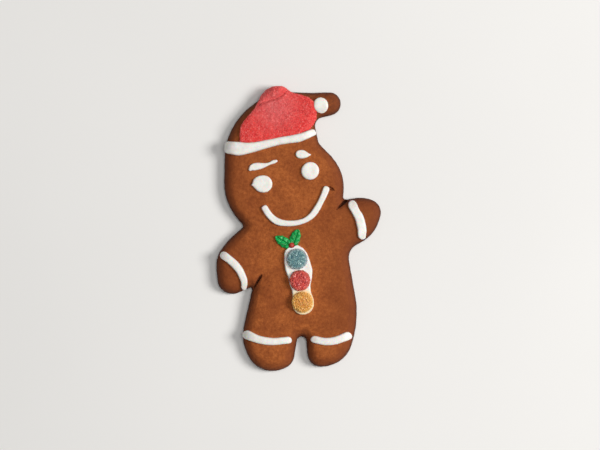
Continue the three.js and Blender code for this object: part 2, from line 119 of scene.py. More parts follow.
def add_floor():
    mesh = bpy.data.meshes.new("floor")
    shape = bmesh.new()
    bmesh.ops.create_grid(shape, x_segments=4, y_segments=4, size=FLOOR_SIDE / 2)
    shape.to_mesh(mesh)
    shape.free()
    floor = bpy.data.objects.new("floor", mesh)
    bpy.context.scene.collection.objects.link(floor)
    mesh.materials.append(floor_paint())


# ---------------------------------------------------------------------------
# Shader nodes
# ---------------------------------------------------------------------------


def srgb(red, green, blue):
    """A colour given as 0 to 255 on screen, as the linear colour that shaders use."""
    def linear(value):
        share = value / 255
        return share / 12.92 if share <= 0.04045 else ((share + 0.055) / 1.055) ** 2.4
    return (linear(red), linear(green), linear(blue), 1)


def add_node(tree, kind, inputs=None, **settings):
    """Adds a node. `inputs` gives a socket its value, or another socket to join it to."""
    made = tree.nodes.new(kind)
    for name, value in settings.items():
        setattr(made, name, value)
    for key, value in (inputs or {}).items():
        if isinstance(value, bpy.types.NodeSocket):
            tree.links.new(value, made.inputs[key])
        else:
            made.inputs[key].default_value = value
    return made


def maths(tree, operation, first, second=0.0):
    return add_node(tree, "ShaderNodeMath", {0: first, 1: second}, operation=operation).outputs[0]


def ramp(tree, value, low, high, start=0.0, end=1.0):
    """`value` from low to high becomes start to end, smoothly."""
    inputs = {"Value": value, "From Min": low, "From Max": high, "To Min": start, "To Max": end}
    made = add_node(tree, "ShaderNodeMapRange", inputs, interpolation_type="SMOOTHSTEP")
    return made.outputs["Result"]


def blended(tree, share, first, second, kind="MIX"):
    """Two colours mixed; `kind` is any blend type of the Mix node."""
    made = add_node(tree, "ShaderNodeMix", data_type="RGBA", blend_type=kind)
    # The node's sockets for colours are its inputs 6 and 7 and its output 2
    for key, value in ((0, share), (6, first), (7, second)):
        if isinstance(value, bpy.types.NodeSocket):
            tree.links.new(value, made.inputs[key])
        else:
            made.inputs[key].default_value = value
    return made.outputs[2]


def new_effect(name, inputs, outputs):
    """A node group with named sockets. Returns the group, its inputs and its outputs."""
    group = bpy.data.node_groups.new(name, "ShaderNodeTree")
    for socket, kind, value in inputs:
        made = group.interface.new_socket(socket, in_out="INPUT", socket_type=kind)
        if value is not None:
            made.default_value = value
    for socket, kind in outputs:
        group.interface.new_socket(socket, in_out="OUTPUT", socket_type=kind)
    entry = group.nodes.new("NodeGroupInput")
    leave = group.nodes.new("NodeGroupOutput")
    return group, entry.outputs, leave.inputs


def mottle_effect():
    """Soft uneven patches between a pale and a deep colour."""
    group, entry, leave = new_effect(
        "mottle",
        [
            ("Vector", "NodeSocketVector", None),
            ("Pale", "NodeSocketColor", (1, 1, 1, 1)),
            ("Deep", "NodeSocketColor", (0, 0, 0, 1)),
            ("Patch Size", "NodeSocketFloat", 0.01),
            ("Fineness", "NodeSocketFloat", 0.5),
        ],
        [("Color", "NodeSocketColor"), ("Mask", "NodeSocketFloat")],
    )
    scale = maths(group, "DIVIDE", 1.0, entry["Patch Size"])
    inputs = {"Vector": entry["Vector"], "Scale": scale, "Detail": 4.0}
    inputs["Roughness"] = entry["Fineness"]
    cloud = add_node(group, "ShaderNodeTexNoise", inputs).outputs["Fac"]
    mask = ramp(group, cloud, 0.3, 0.7)
    group.links.new(blended(group, mask, entry["Deep"], entry["Pale"]), leave["Color"])
    group.links.new(mask, leave["Mask"])
    return group


def grain_effect():
    """Close, even grain, with its height for a bump."""
    group, entry, leave = new_effect(
        "grain",
        [("Vector", "NodeSocketVector", None), ("Grain Size", "NodeSocketFloat", 0.001)],
        [("Height", "NodeSocketFloat"), ("Mask", "NodeSocketFloat")],
    )
    scale = maths(group, "DIVIDE", 1.0, entry["Grain Size"])
    inputs = {"Vector": entry["Vector"], "Scale": scale, "Detail": 3.0, "Roughness": 0.62}
    height = add_node(group, "ShaderNodeTexNoise", inputs).outputs["Fac"]
    group.links.new(height, leave["Height"])
    group.links.new(ramp(group, height, 0.34, 0.66), leave["Mask"])
    return group


def pit_effect():
    """Scattered small pits. The mask is 1 in a pit."""
    group, entry, leave = new_effect(
        "pits",
        [
            ("Vector", "NodeSocketVector", None),
            ("Spacing", "NodeSocketFloat", 0.003),
            ("Pit Size", "NodeSocketFloat", 0.2),
            ("Share", "NodeSocketFloat", 0.4),
        ],
        [("Mask", "NodeSocketFloat")],
    )
    scale = maths(group, "DIVIDE", 1.0, entry["Spacing"])
    cells = add_node(group, "ShaderNodeTexVoronoi", {"Vector": entry["Vector"], "Scale": scale})
    draw = add_node(group, "ShaderNodeSeparateColor", {"Color": cells.outputs["Color"]})
    chosen = maths(group, "LESS_THAN", draw.outputs["Red"], entry["Share"])
    vary = ramp(group, draw.outputs["Green"], 0, 1, 0.5, 1.3)
    size = maths(group, "MULTIPLY", entry["Pit Size"], vary)
    near = maths(group, "DIVIDE", cells.outputs["Distance"], size)
    hollow = ramp(group, near, 1.0, 0.35)
    group.links.new(maths(group, "MULTIPLY", hollow, chosen), leave["Mask"])
    return group


def crystal_effect():
    """Sugar crystals: facets of uneven height, some of them bright."""
    group, entry, leave = new_effect(
        "crystals",
        [
            ("Vector", "NodeSocketVector", None),
            ("Crystal Size", "NodeSocketFloat", 0.0006),
            ("Bright Share", "NodeSocketFloat", 0.3),
        ],
        [
            ("Bright", "NodeSocketFloat"),
            ("Height", "NodeSocketFloat"),
            ("Shade", "NodeSocketFloat"),
        ],
    )
    scale = maths(group, "DIVIDE", 1.0, entry["Crystal Size"])
    cells = add_node(group, "ShaderNodeTexVoronoi", {"Vector": entry["Vector"], "Scale": scale})
    draw = add_node(group, "ShaderNodeSeparateColor", {"Color": cells.outputs["Color"]})
    bright = maths(group, "LESS_THAN", draw.outputs["Red"], entry["Bright Share"])
    top = ramp(group, cells.outputs["Distance"], 0.75, 0.15)
    height = maths(group, "MULTIPLY", top, ramp(group, draw.outputs["Blue"], 0, 1, 0.4, 1))
    group.links.new(maths(group, "MULTIPLY", bright, top), leave["Bright"])
    group.links.new(height, leave["Height"])
    group.links.new(draw.outputs["Green"], leave["Shade"])
    return group


class Finish:
    """A material with a Principled shader, and short ways to place effects in it."""

    def __init__(self, name, **shader):
        self.material = bpy.data.materials.new(name)
        self.material.use_nodes = True
        self.tree = self.material.node_tree
        self.shader = self.tree.nodes["Principled BSDF"]
        for socket, value in shader.items():
            self.shader.inputs[socket.replace("_", " ")].default_value = value
        self.place = add_node(self.tree, "ShaderNodeTexCoord").outputs["Object"]

    def effect(self, group, **inputs):
        """Places an effect, and returns its outputs."""
        made = add_node(self.tree, "ShaderNodeGroup", node_tree=group)
        self.tree.links.new(self.place, made.inputs["Vector"])
        for key, value in inputs.items():
            socket = made.inputs[key.replace("_", " ")]
            if isinstance(value, bpy.types.NodeSocket):
                self.tree.links.new(value, socket)
            else:
                socket.default_value = value
        return made.outputs

    def mix(self, share, first, second, kind="MIX"):
        return blended(self.tree, share, first, second, kind)

    def feed(self, socket, value):
        """Joins a value that changes over the surface to one of the shader's sockets."""
        self.tree.links.new(value, self.shader.inputs[socket])

    def upward(self):
        """How far the surface faces up: 1 on a level top, 0 on a wall, -1 underneath."""
        facing = add_node(self.tree, "ShaderNodeNewGeometry").outputs["Normal"]
        return add_node(self.tree, "ShaderNodeSeparateXYZ", {0: facing}).outputs["Z"]

    def distance_from(self, place):
        """How far each point of the surface is from a place."""
        inputs = {0: self.place, 1: tuple(place)}
        made = add_node(self.tree, "ShaderNodeVectorMath", inputs, operation="DISTANCE")
        return made.outputs["Value"]

    def sink(self, mask, depth, under):
        """Adds hollows `depth` metres deep where the mask is 1, on top of the bump `under`."""
        self.bump(maths(self.tree, "SUBTRACT", 1.0, mask), depth, under)

    def bump(self, height, depth, under=None):
        """Adds a bump `depth` metres deep, on top of the bump `under`."""
        inputs = {"Height": height, "Distance": depth, "Strength": 1.0}
        made = add_node(self.tree, "ShaderNodeBump", inputs)
        if under is not None:
            self.tree.links.new(under, made.inputs["Normal"])
        self.tree.links.new(made.outputs["Normal"], self.shader.inputs["Normal"])
        return made.outputs["Normal"]


MOTTLE = mottle_effect()
GRAIN = grain_effect()
PITS = pit_effect()
CRYSTALS = crystal_effect()

# ---------------------------------------------------------------------------
# Finishes
# ---------------------------------------------------------------------------


def floor_paint():
    finish = Finish("pale_floor", Roughness=0.9, Specular_IOR_Level=0.1)
    shade = finish.effect(
        MOTTLE, Pale=srgb(240, 239, 237), Deep=srgb(237, 236, 234), Patch_Size=0.3, Fineness=0.4
    )
    finish.feed("Base Color", shade["Color"])
    return finish.material


# The biscuit is darker to each side of a line a little left of its middle, and up its hat it is
# painted darker in patches, as painted shade: where each darkening starts and ends, and its
# colour
DARKER_ASIDE = {"left": 0.008, "from": 0.016, "to": 0.06, "colour": srgb(122, 60, 26)}
TIP_SHADE = {"from": 0.07, "to": 0.1, "colour": srgb(104, 54, 30)}
# Darker where its top rolls over and on its walls: partly deeper baking, partly painted shade
EDGE_BAKE_AND_SHADE = srgb(116, 56, 26)
WALL_BAKE_AND_SHADE = srgb(62, 23, 10)
# The crumb's dust and spice specks, and the painted shade in its pits
CRUMB = {"dust": srgb(128, 66, 31), "pit": srgb(92, 44, 22), "spice": srgb(84, 40, 20)}


def gingerbread_crumb():
    finish = Finish("gingerbread_crumb", Roughness=0.82, Specular_IOR_Level=0.22)
    tree = finish.tree
    broad = finish.effect(
        MOTTLE, Pale=srgb(192, 109, 52), Deep=srgb(156, 82, 36), Patch_Size=0.016, Fineness=0.7
    )
    fine = finish.effect(
        MOTTLE, Pale=srgb(255, 254, 252), Deep=srgb(212, 197, 178),
        Patch_Size=0.0024, Fineness=0.7,
    )
    speck = finish.effect(GRAIN, Grain_Size=0.0008)
    pits = finish.effect(PITS, Spacing=0.0045, Pit_Size=0.13, Share=0.3)
    spice = finish.effect(PITS, Spacing=0.0036, Pit_Size=0.09, Share=0.4)

    colour = finish.mix(1.0, broad["Color"], fine["Color"], "MULTIPLY")
    colour = finish.mix(ramp(tree, speck["Mask"], 0, 1, 0.0, 0.4), colour, CRUMB["dust"])
    spot = add_node(tree, "ShaderNodeSeparateXYZ", {0: finish.place}).outputs
    aside = maths(tree, "ABSOLUTE", maths(tree, "ADD", spot["X"], DARKER_ASIDE["left"]))
    outer = ramp(tree, aside, DARKER_ASIDE["from"], DARKER_ASIDE["to"], 0.0, 0.75)
    colour = finish.mix(outer, colour, DARKER_ASIDE["colour"])
    # Up its hat the crumb is painted darker in patches: painted shade there
    tip = ramp(tree, spot["Y"], TIP_SHADE["from"], TIP_SHADE["to"], 0.0, 0.8)
    patches = finish.effect(MOTTLE, Patch_Size=0.003, Fineness=0.8)
    uneven = ramp(tree, patches["Mask"], 0, 1, 1.15, 0.0)
    colour = finish.mix(maths(tree, "MULTIPLY", tip, uneven), colour, TIP_SHADE["colour"])
    # It is darker still where its top rolls over, and darkest on its walls: partly deeper baking,
    # partly painted shade
    upward = finish.upward()
    colour = finish.mix(ramp(tree, upward, 1.0, 0.9, 0.0, 0.5), colour, EDGE_BAKE_AND_SHADE)
    colour = finish.mix(ramp(tree, upward, 0.85, 0.1, 0.0, 0.9), colour, WALL_BAKE_AND_SHADE)
    # Its underside is baked an even, duller brown
    under = finish.effect(
        MOTTLE, Pale=srgb(150, 86, 46), Deep=srgb(112, 60, 32), Patch_Size=0.006, Fineness=0.75
    )
    colour = finish.mix(ramp(tree, upward, -0.6, -0.95), colour, under["Color"])
    # Its pits are painted darker: painted shade in the hollows
    colour = finish.mix(maths(tree, "MULTIPLY", pits["Mask"], 0.3), colour, CRUMB["pit"])
    colour = finish.mix(maths(tree, "MULTIPLY", spice["Mask"], 0.5), colour, CRUMB["spice"])
    finish.feed("Base Color", colour)
    swells = finish.bump(broad["Mask"], 0.12 * MM)
    grain = finish.bump(speck["Height"], 0.24 * MM, swells)
    finish.sink(pits["Mask"], 0.2 * MM, grain)
    return finish.material


def middle_of(node):
    low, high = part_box(node)
    return low.lerp(high, 0.5)


# How far a jelly button's colour has spread in the icing, from the button's middle
STAIN = {"from": 0.0078, "to": 0.0125, "colour": srgb(242, 212, 158)}


def white_icing(name, stained_by=None):
    """Icing; `stained_by` is the jelly button that has coloured the icing next to it."""
    finish = Finish(name, Roughness=0.42, Subsurface_Weight=0.25, Subsurface_Scale=0.0015)
    shade = finish.effect(
        MOTTLE, Pale=srgb(241, 239, 234), Deep=srgb(231, 228, 221), Patch_Size=0.004, Fineness=0.6
    )
    colour = shade["Color"]
    if stained_by:
        away = finish.distance_from(middle_of(stained_by))
        stain = ramp(finish.tree, away, STAIN["to"], STAIN["from"], 0.0, 0.9)
        colour = finish.mix(stain, colour, STAIN["colour"])
    finish.feed("Base Color", colour)
    pits = finish.effect(PITS, Spacing=0.0045, Pit_Size=0.08, Share=0.25)
    grain = finish.effect(GRAIN, Grain_Size=0.0011)
    finish.sink(pits["Mask"], 0.12 * MM, finish.bump(grain["Height"], 0.05 * MM))
    return finish.material


# The paler part of the hat: how far it is from the hat's middle, and
# how far it reaches
PALER_MIDDLE = {"shift": Vector((-0.002, 0.005, 0)), "reach": 0.025, "colour": srgb(227, 119, 118)}
FINE_SUGAR = srgb(250, 176, 168)  # the brightest grains in the icing itself
SHADE_BETWEEN_GRAINS = srgb(186, 30, 40)  # painted shade between the grains, in a darker red


def paleness(finish):
    """How much paler the hat is at each place, from 0 to 1."""
    away = finish.distance_from(middle_of("hat_icing") + PALER_MIDDLE["shift"])
    return ramp(finish.tree, away, PALER_MIDDLE["reach"], 0)


def hat_sugar():
    """Sugar crystals on the hat."""
    finish = Finish("hat_sugar", Roughness=0.4)
    shade = finish.effect(
        MOTTLE, Pale=srgb(246, 108, 100), Deep=srgb(212, 38, 40), Patch_Size=0.0022, Fineness=0.75
    )
    share = maths(finish.tree, "MULTIPLY", paleness(finish), 0.7)
    finish.feed("Base Color", finish.mix(share, shade["Color"], PALER_MIDDLE["colour"]))
    return finish.material


def sugared_red():
    """Red icing with fine sugar pressed into it."""
    finish = Finish("sugared_red_icing", Roughness=0.75, Specular_IOR_Level=0.3)
    tree = finish.tree
    broad = finish.effect(
        MOTTLE, Pale=srgb(242, 70, 62), Deep=srgb(214, 34, 42), Patch_Size=0.003, Fineness=0.7
    )
    sugar = finish.effect(CRYSTALS, Crystal_Size=0.0009, Bright_Share=0.4)
    fine = finish.effect(GRAIN, Grain_Size=0.0018)
    patchy = maths(tree, "MULTIPLY", paleness(finish), ramp(tree, broad["Mask"], 0, 1, 0.5, 0.85))
    colour = finish.mix(patchy, broad["Color"], PALER_MIDDLE["colour"])
    colour = finish.mix(maths(tree, "MULTIPLY", sugar["Bright"], 0.2), colour, FINE_SUGAR)
    # Painted shade between the grains, in a darker red
    colour = finish.mix(ramp(tree, fine["Mask"], 0, 1, 0.0, 0.32), colour, SHADE_BETWEEN_GRAINS)
    finish.feed("Base Color", colour)
    rough = finish.bump(sugar["Height"], 0.16 * MM)
    finish.bump(fine["Height"], 0.14 * MM, rough)
    return finish.material


def jelly(name, pale, deep, bright, rim):
    """Jelly under a sugar coat: deep where it shows through, bright on the crystals."""
    finish = Finish(name, Roughness=0.5, Subsurface_Weight=0.2, Subsurface_Scale=0.002)
    tree = finish.tree
    broad = finish.effect(MOTTLE, Pale=pale, Deep=deep, Patch_Size=0.0038, Fineness=0.7)
    sugar = finish.effect(CRYSTALS, Crystal_Size=0.0014, Bright_Share=0.35)
    colour = finish.mix(maths(tree, "MULTIPLY", sugar["Bright"], 0.5), broad["Color"], bright)
    colour = finish.mix(ramp(tree, sugar["Shade"], 0, 1, 0.0, 0.4), colour, deep)
    # Its sloping sides take the rim colour: partly the sugar's duller look, partly painted
    # shading
    aslant = ramp(tree, finish.upward(), 0.97, 0.6, 0.0, 0.8)
    finish.feed("Base Color", finish.mix(aslant, colour, rim))
    finish.bump(sugar["Height"], 0.22 * MM)
    return finish.material


# Where the duller rim of a jelly button's sugar starts and ends, from the button's middle; the
# rim is partly painted shading
DULL_RIM = {"from": 0.0062, "to": 0.0078}


def crystal_sugar(name, pale, tint, rim, node):
    """Sugar crystals on a jelly button, tinted by what they lie on, and duller round its rim,
    which is partly painted shading.
    """
    finish = Finish(name, Roughness=0.3)
    shade = finish.effect(MOTTLE, Pale=pale, Deep=tint, Patch_Size=0.0019, Fineness=0.8)
    away = finish.distance_from(middle_of(node))
    # Round its rim the sugar takes the rim colour: partly its duller look, partly painted shading
    share = ramp(finish.tree, away, DULL_RIM["from"], DULL_RIM["to"], 0.0, 0.75)
    finish.feed("Base Color", finish.mix(share, shade["Color"], rim))
    return finish.material


def sugar_paste(name, pale, deep):
    """Moulded sugar paste with a soft gloss."""
    finish = Finish(name, Roughness=0.4, Subsurface_Weight=0.1, Subsurface_Scale=0.001)
    shade = finish.effect(MOTTLE, Pale=pale, Deep=deep, Patch_Size=0.0022, Fineness=0.55)
    finish.feed("Base Color", shade["Color"])
    grain = finish.effect(GRAIN, Grain_Size=0.0006)
    finish.bump(grain["Height"], 0.05 * MM)
    return finish.material


# ---------------------------------------------------------------------------
# Shaping
# ---------------------------------------------------------------------------

WALL_FOOT = 1.5 * MM  # the biscuit's walls are taken from above this height
WALL_MIDDLE = 3.2 * MM  # and how near a place is to them is measured at this height
UPRIGHT = 0.3  # a face whose normal rises or falls less than this belongs to a wall
TOUCHING = 0.38 * MM  # what lies nearer the biscuit than this is stuck to it
SUNK = 0.9 * MM  # how deep the stuck underside of icing goes
STEEPNESS = 2.2  # 1 leaves icing's section as it was; more gives a flatter top, steeper sides
EDGE_FALL = 0.95 * MM  # how far the baked top falls away towards its edge, beyond the CAD form
EDGE_REACH = 9 * MM  # and about how far in from the edge that starts
DOUGH_LUMPS = [(27 * MM, 0.5 * MM), (9 * MM, 0.25 * MM)]  # how far apart, and how high


def places(mesh):
    """The place of each corner of a mesh, one row for each."""
    flat = np.empty(len(mesh.vertices) * 3)
    mesh.vertices.foreach_get("co", flat)
    return flat.reshape(-1, 3)


def outward(mesh):
    """The direction out of the surface at each corner of a mesh."""
    flat = np.empty(len(mesh.vertices) * 3)
    mesh.vertices.foreach_get("normal", flat)
    return flat.reshape(-1, 3)


def move_to(mesh, co):
    mesh.vertices.foreach_set("co", co.ravel())
    mesh.update()


def smooth_share(values, low, high):
    """0 at low, 1 at high, smoothly between them."""
    share = np.clip((values - low) / (high - low), 0, 1)
    return share * share * (3 - 2 * share)


def lumps(co, layers, seed):
    """The height of soft lumps at each place. A layer is how far apart and how high they are."""
    total = 0
    for size, height in layers:
        shift = Vector((seed * 17.3, seed * 5.9, seed * 11.1))
        waves = np.array([noise.noise(Vector(place) / size + shift) for place in co])
        total = total + height * waves
        seed += 1
    return total


def new_piece(name, mesh):
    piece = bpy.data.objects.new(name, mesh)
    bpy.context.scene.collection.objects.link(piece)
    return piece


def settle(piece):
    """Applies a piece's modifiers, so that its mesh is final."""
    graph = bpy.context.evaluated_depsgraph_get()
    mesh = bpy.data.meshes.new_from_object(piece.evaluated_get(graph))
    piece.modifiers.clear()
    piece.data = mesh
    mesh.polygons.foreach_set("use_smooth", [True] * len(mesh.polygons))


def soften(piece, voxel, rounds):
    """An even fine skin over the piece, with its facets smoothed away."""
    skin = piece.modifiers.new("fine_skin", "REMESH")
    skin.mode = "VOXEL"
    skin.voxel_size = voxel
    ease = piece.modifiers.new("ease", "SMOOTH")
    ease.factor = 0.5
    ease.iterations = rounds
    settle(piece)


def joined_mesh(node):
    """A copy of a CAD node's mesh whose facets share their corners."""
    shape = bmesh.new()
    shape.from_mesh(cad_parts[node].data)
    bmesh.ops.remove_doubles(shape, verts=shape.verts, dist=0.002 * MM)
    bmesh.ops.recalc_face_normals(shape, faces=shape.faces)
    mesh = bpy.data.meshes.new(node + "_form")
    shape.to_mesh(mesh)
    shape.free()
    return mesh


def surface_of(mesh, chosen=lambda face: True):
    """The chosen faces of a mesh, ready to look up the place on them nearest to another."""
    corners = [tuple(v.co) for v in mesh.vertices]
    return BVHTree.FromPolygons(corners, [tuple(p.vertices) for p in mesh.polygons if chosen(p)])


def is_wall(face):
    return abs(face.normal.z) < UPRIGHT and face.center.z > WALL_FOOT


# The biscuit's own surfaces, which everything on it is fitted to: the CAD form, its walls,
# and the softened form before any lumps
CAD_BISCUIT = joined_mesh("gingerbread")
SURFACE = surface_of(CAD_BISCUIT)
WALL = surface_of(CAD_BISCUIT, is_wall)
BISCUIT = new_piece("biscuit", CAD_BISCUIT.copy())
soften(BISCUIT, voxel=0.72 * MM, rounds=14)
PLAIN = surface_of(BISCUIT.data)


def dough_rise(co, follow=1.0):
    """How far the uneven baked top stands above the plain one, over each place.

    `follow` is the share of the fall towards the edge that what lies on it takes up.
    """
    spots = co.copy()
    spots[:, 2] = WALL_MIDDLE
    inside = np.array([WALL.find_nearest(spot)[3] for spot in spots])
    fall = follow * EDGE_FALL * np.exp(-((inside / EDGE_REACH) ** 2))
    spots[:, 2] = BISCUIT_TOP
    return lumps(spots, DOUGH_LUMPS, seed=1) - fall


def press_down(mesh, swell):
    """Sinks a piece's underside into the biscuit, and swells the rest a little."""
    co = places(mesh)
    no = outward(mesh)
    for i, place in enumerate(co):
        spot, normal, _, away = SURFACE.find_nearest(place)
        if away < TOUCHING:
            co[i] = spot - normal * SUNK
        else:
            co[i] = place + no[i] * swell
    move_to(mesh, co)


def flatten_top(mesh, thick):
    """Makes icing flatter over its top and steeper at its edges, and `thick` high."""
    co = places(mesh)
    held = [PLAIN.find_nearest(place) for place in co]
    spots = np.array([spot for spot, _, _, _ in held])
    normals = np.array([normal for _, normal, _, _ in held])
    height = ((co - spots) * normals).sum(1)
    crest = np.percentile(height, 99)
    share = np.clip(height / crest, 0, 1)
    level = np.where(height > 0, thick * (1 - (1 - share) ** STEEPNESS), height)
    move_to(mesh, co + normals * (level - height)[:, None])


def keep_within(mesh, node):
    """Holds a piece inside the space its CAD node takes up."""
    low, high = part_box(node)
    move_to(mesh, np.clip(places(mesh), low, high))


def place_piece(piece, slot, *nodes):
    """Attaches a piece to the body, and hides the CAD nodes that it stands for."""
    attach(piece, BODY)
    if nodes:
        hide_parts(*nodes)


# ---------------------------------------------------------------------------
# The biscuit
# ---------------------------------------------------------------------------

# Creases in the dough at the left armpit, above the right arm and beside the smile: places
# along each as (x, y, width, depth), in millimetres
CREASES = [
    [
        (-27.6, -34.8, 1.2, 1), (-28.6, -36.4, 1.8, 2.4),
        (-31.2, -40.6, 1.5, 2.4), (-33.2, -44.2, 1.2, 1.6),
    ],
    [(28.6, 14.4, 0.6, 0.6), (31, 16.6, 1.5, 2), (33.4, 18.9, 1.9, 3.4), (35.6, 21.1, 2.3, 6)],
    [(23.4, 30.8, 2.2, 1.4), (25.2, 29.8, 2, 1.8), (27.2, 28.8, 0.8, 0.4)],
]
CREASE_REACH = 3 * MM  # how far to each side of a crease the dough is drawn down with it
CREASE_DRAW = 0.2  # how much of a crease's depth that takes
SLIT_SIDE = 0.6  # how far to each side of its line the slit reaches, as a share of the width
FINER_WITHIN = CREASE_REACH * 0.8  # the mesh is made finer this near a crease
FINER_ABOVE = 4 * MM
CRUMB_LUMPS = [(3.4 * MM, 0.14 * MM), (1.6 * MM, 0.1 * MM)]

# The heights between which each kind of relief fades in, so that the underside stays flat
CRUMB_FADE = (0.2 * MM, 2.5 * MM)
RISE_FADE = (2 * MM, 8 * MM)
CREASE_FADE = (3 * MM, 8 * MM)


def along_crease(co, crease):
    """For each place, how far it is from a crease, and the crease's width and depth there."""
    stations = np.array(crease) * MM
    nearest = np.full(len(co), np.inf)
    width, depth = np.zeros(len(co)), np.zeros(len(co))
    for start, end in zip(stations, stations[1:]):
        run = end[:2] - start[:2]
        share = np.clip(((co[:, :2] - start[:2]) @ run) / (run @ run), 0, 1)
        away = np.linalg.norm(co[:, :2] - start[:2] - share[:, None] * run, axis=1)
        closer = away < nearest
        nearest = np.where(closer, away, nearest)
        width = np.where(closer, start[2] + (end[2] - start[2]) * share, width)
        depth = np.where(closer, start[3] + (end[3] - start[3]) * share, depth)
    return nearest, width, depth


def add_detail(mesh, chosen, cuts):
    """Divides the faces round the chosen corners more finely."""
    shape = bmesh.new()
    shape.from_mesh(mesh)
    shape.verts.ensure_lookup_table()
    edges = [e for e in shape.edges if any(chosen[v.index] for v in e.verts)]
    bmesh.ops.subdivide_edges(shape, edges=edges, cuts=cuts, use_grid_fill=True)
    shape.to_mesh(mesh)
    shape.free()
    mesh.polygons.foreach_set("use_smooth", [True] * len(mesh.polygons))


def press_crease(mesh, crease):
    """Draws the dough down beside a crease, and opens a narrow slit along it."""
    co = places(mesh)
    away, _, _ = along_crease(co, crease)
    add_detail(mesh, (away < FINER_WITHIN) & (co[:, 2] > FINER_ABOVE), cuts=3)
    co = places(mesh)
    away, width, depth = along_crease(co, crease)
    beside = 1 - smooth_share(away, 0, CREASE_REACH)
    slit = np.clip(1 - away / (SLIT_SIDE * width), 0, 1)
    co[:, 2] -= depth * (CREASE_DRAW * beside + slit) * smooth_share(co[:, 2], *CREASE_FADE)
    move_to(mesh, co)


def bake_biscuit():
    mesh = BISCUIT.data
    co = places(mesh)
    fine = lumps(co, CRUMB_LUMPS, seed=3) * smooth_share(co[:, 2], *CRUMB_FADE)
    rise = dough_rise(co) * smooth_share(co[:, 2], *RISE_FADE)
    co += outward(mesh) * fine[:, None]
    co[:, 2] += rise
    move_to(mesh, co)
    for crease in CREASES:
        press_crease(mesh, crease)
    keep_within(mesh, "gingerbread")
    mesh.materials.append(gingerbread_crumb())
    place_piece(BISCUIT, "gingerbread", "gingerbread")


# ---------------------------------------------------------------------------
# Icing
# ---------------------------------------------------------------------------

# How thick each kind of white icing is
BRIM = 3.2 * MM
POMPOM = 2.5 * MM
EYE = 2.1 * MM
BROW = 1.7 * MM
LINE = 2.2 * MM

# How far apart the swells along white icing are, and the finer ones on them
BROAD_WAVE = 6 * MM
FINE_WAVE = 2.4 * MM
FINE_SHARE = 0.4  # how high the finer ones are, against the others

# The crease below the folded tip of the hat, as the biscuit's creases are given, and the
# heights between which it fades in
HAT_CREASE = [
    (-29.4, 93.6, 2, 0.6), (-25, 95.4, 2.8, 1.3), (-20.6, 97, 3, 1.6), (-16.4, 98.2, 3, 1.7),
    (-13, 99.8, 2.8, 1.7), (-10.6, 101.8, 2.6, 1.3), (-9, 104, 2, 0.6),
]
HAT_CREASE_FADE = (BISCUIT_TOP - 3 * MM, BISCUIT_TOP + 0.5 * MM)
HAT_CREASE_SIDE = 0.7  # how far to each side of its line it reaches, as a share of the width
HAT_LUMPS = [(11 * MM, 0.35 * MM), (3.2 * MM, 0.34 * MM), (1.3 * MM, 0.22 * MM)]
HAT_GRAINS = {"count": 6000, "sizes": (0.35 * MM, 0.8 * MM), "sunk": 0.12 * MM}


def faces_up(face):
    """Leaves out the steepest sides and the underside."""
    return face.normal.z > 0.05


def make_hat_icing():
    mesh = joined_mesh("hat_icing")
    press_down(mesh, swell=0.16 * MM)
    piece = new_piece("sugared_hat", mesh)
    soften(piece, voxel=0.4 * MM, rounds=10)
    co = places(piece.data)
    co += outward(piece.data) * lumps(co, HAT_LUMPS, seed=21)[:, None]
    away, width, depth = along_crease(co, HAT_CREASE)
    upper = smooth_share(co[:, 2], *HAT_CREASE_FADE)
    groove = depth * (1 - smooth_share(away / width, 0, HAT_CREASE_SIDE)) * upper
    co[:, 2] += dough_rise(co) - groove
    move_to(piece.data, co)
    keep_within(piece.data, "hat_icing")
    piece.data.materials.append(sugared_red())
    place_piece(piece, "red_icing", "hat_icing")
    sugar = hat_sugar()
    grains = make_sugar("sugar_on_hat", piece, faces_up, HAT_GRAINS, sugar, "red_icing", seed=61)
    keep_within(grains, "hat_icing")


def iced(node, name, finish, thick, voxel=0.34 * MM, rounds=14, waves=0.14 * MM, follow=1.0):
    """Icing with the form of a CAD node, stuck down, smooth and a little uneven.

    `rounds` is how often it is smoothed, `waves` how uneven it is, and `follow` as in dough_rise.
    """
    mesh = joined_mesh(node)
    press_down(mesh, swell=0.05 * MM)
    piece = new_piece(name, mesh)
    soften(piece, voxel, rounds)
    flatten_top(piece.data, thick)
    co = places(piece.data)
    layers = [(BROAD_WAVE, waves), (FINE_WAVE, waves * FINE_SHARE)]
    co += outward(piece.data) * lumps(co, layers, seed=len(name) + len(node))[:, None]
    co[:, 2] += dough_rise(co, follow)
    move_to(piece.data, co)
    piece.data.materials.append(finish)
    place_piece(piece, "white_icing", node)


def make_white_icing():
    white = white_icing("white_icing")
    iced("hat_brim", "piped_brim", white, BRIM, voxel=0.4 * MM, follow=0.2)
    iced("pompom", "pompom_dot", white, POMPOM, rounds=4, waves=0.08 * MM)
    iced("eye_left", "iced_eye_left", white, EYE, rounds=8, waves=0.1 * MM)
    iced("eye_right", "iced_eye_right", white, EYE, rounds=24, waves=0.1 * MM)
    for side in ("left", "right"):
        iced(f"eyebrow_{side}", f"iced_brow_{side}", white, BROW, voxel=0.22 * MM, rounds=5)
        iced(f"arm_band_{side}", f"piped_arm_band_{side}", white, LINE, rounds=18)
        iced(f"leg_band_{side}", f"piped_leg_band_{side}", white, LINE, rounds=18)
    iced("smile", "piped_smile", white, LINE)
    stained = white_icing("stained_icing", "candy_yellow")
    iced("button_icing", "spread_button_icing", stained, LINE, rounds=18)


# ---------------------------------------------------------------------------
# Jelly buttons
# ---------------------------------------------------------------------------

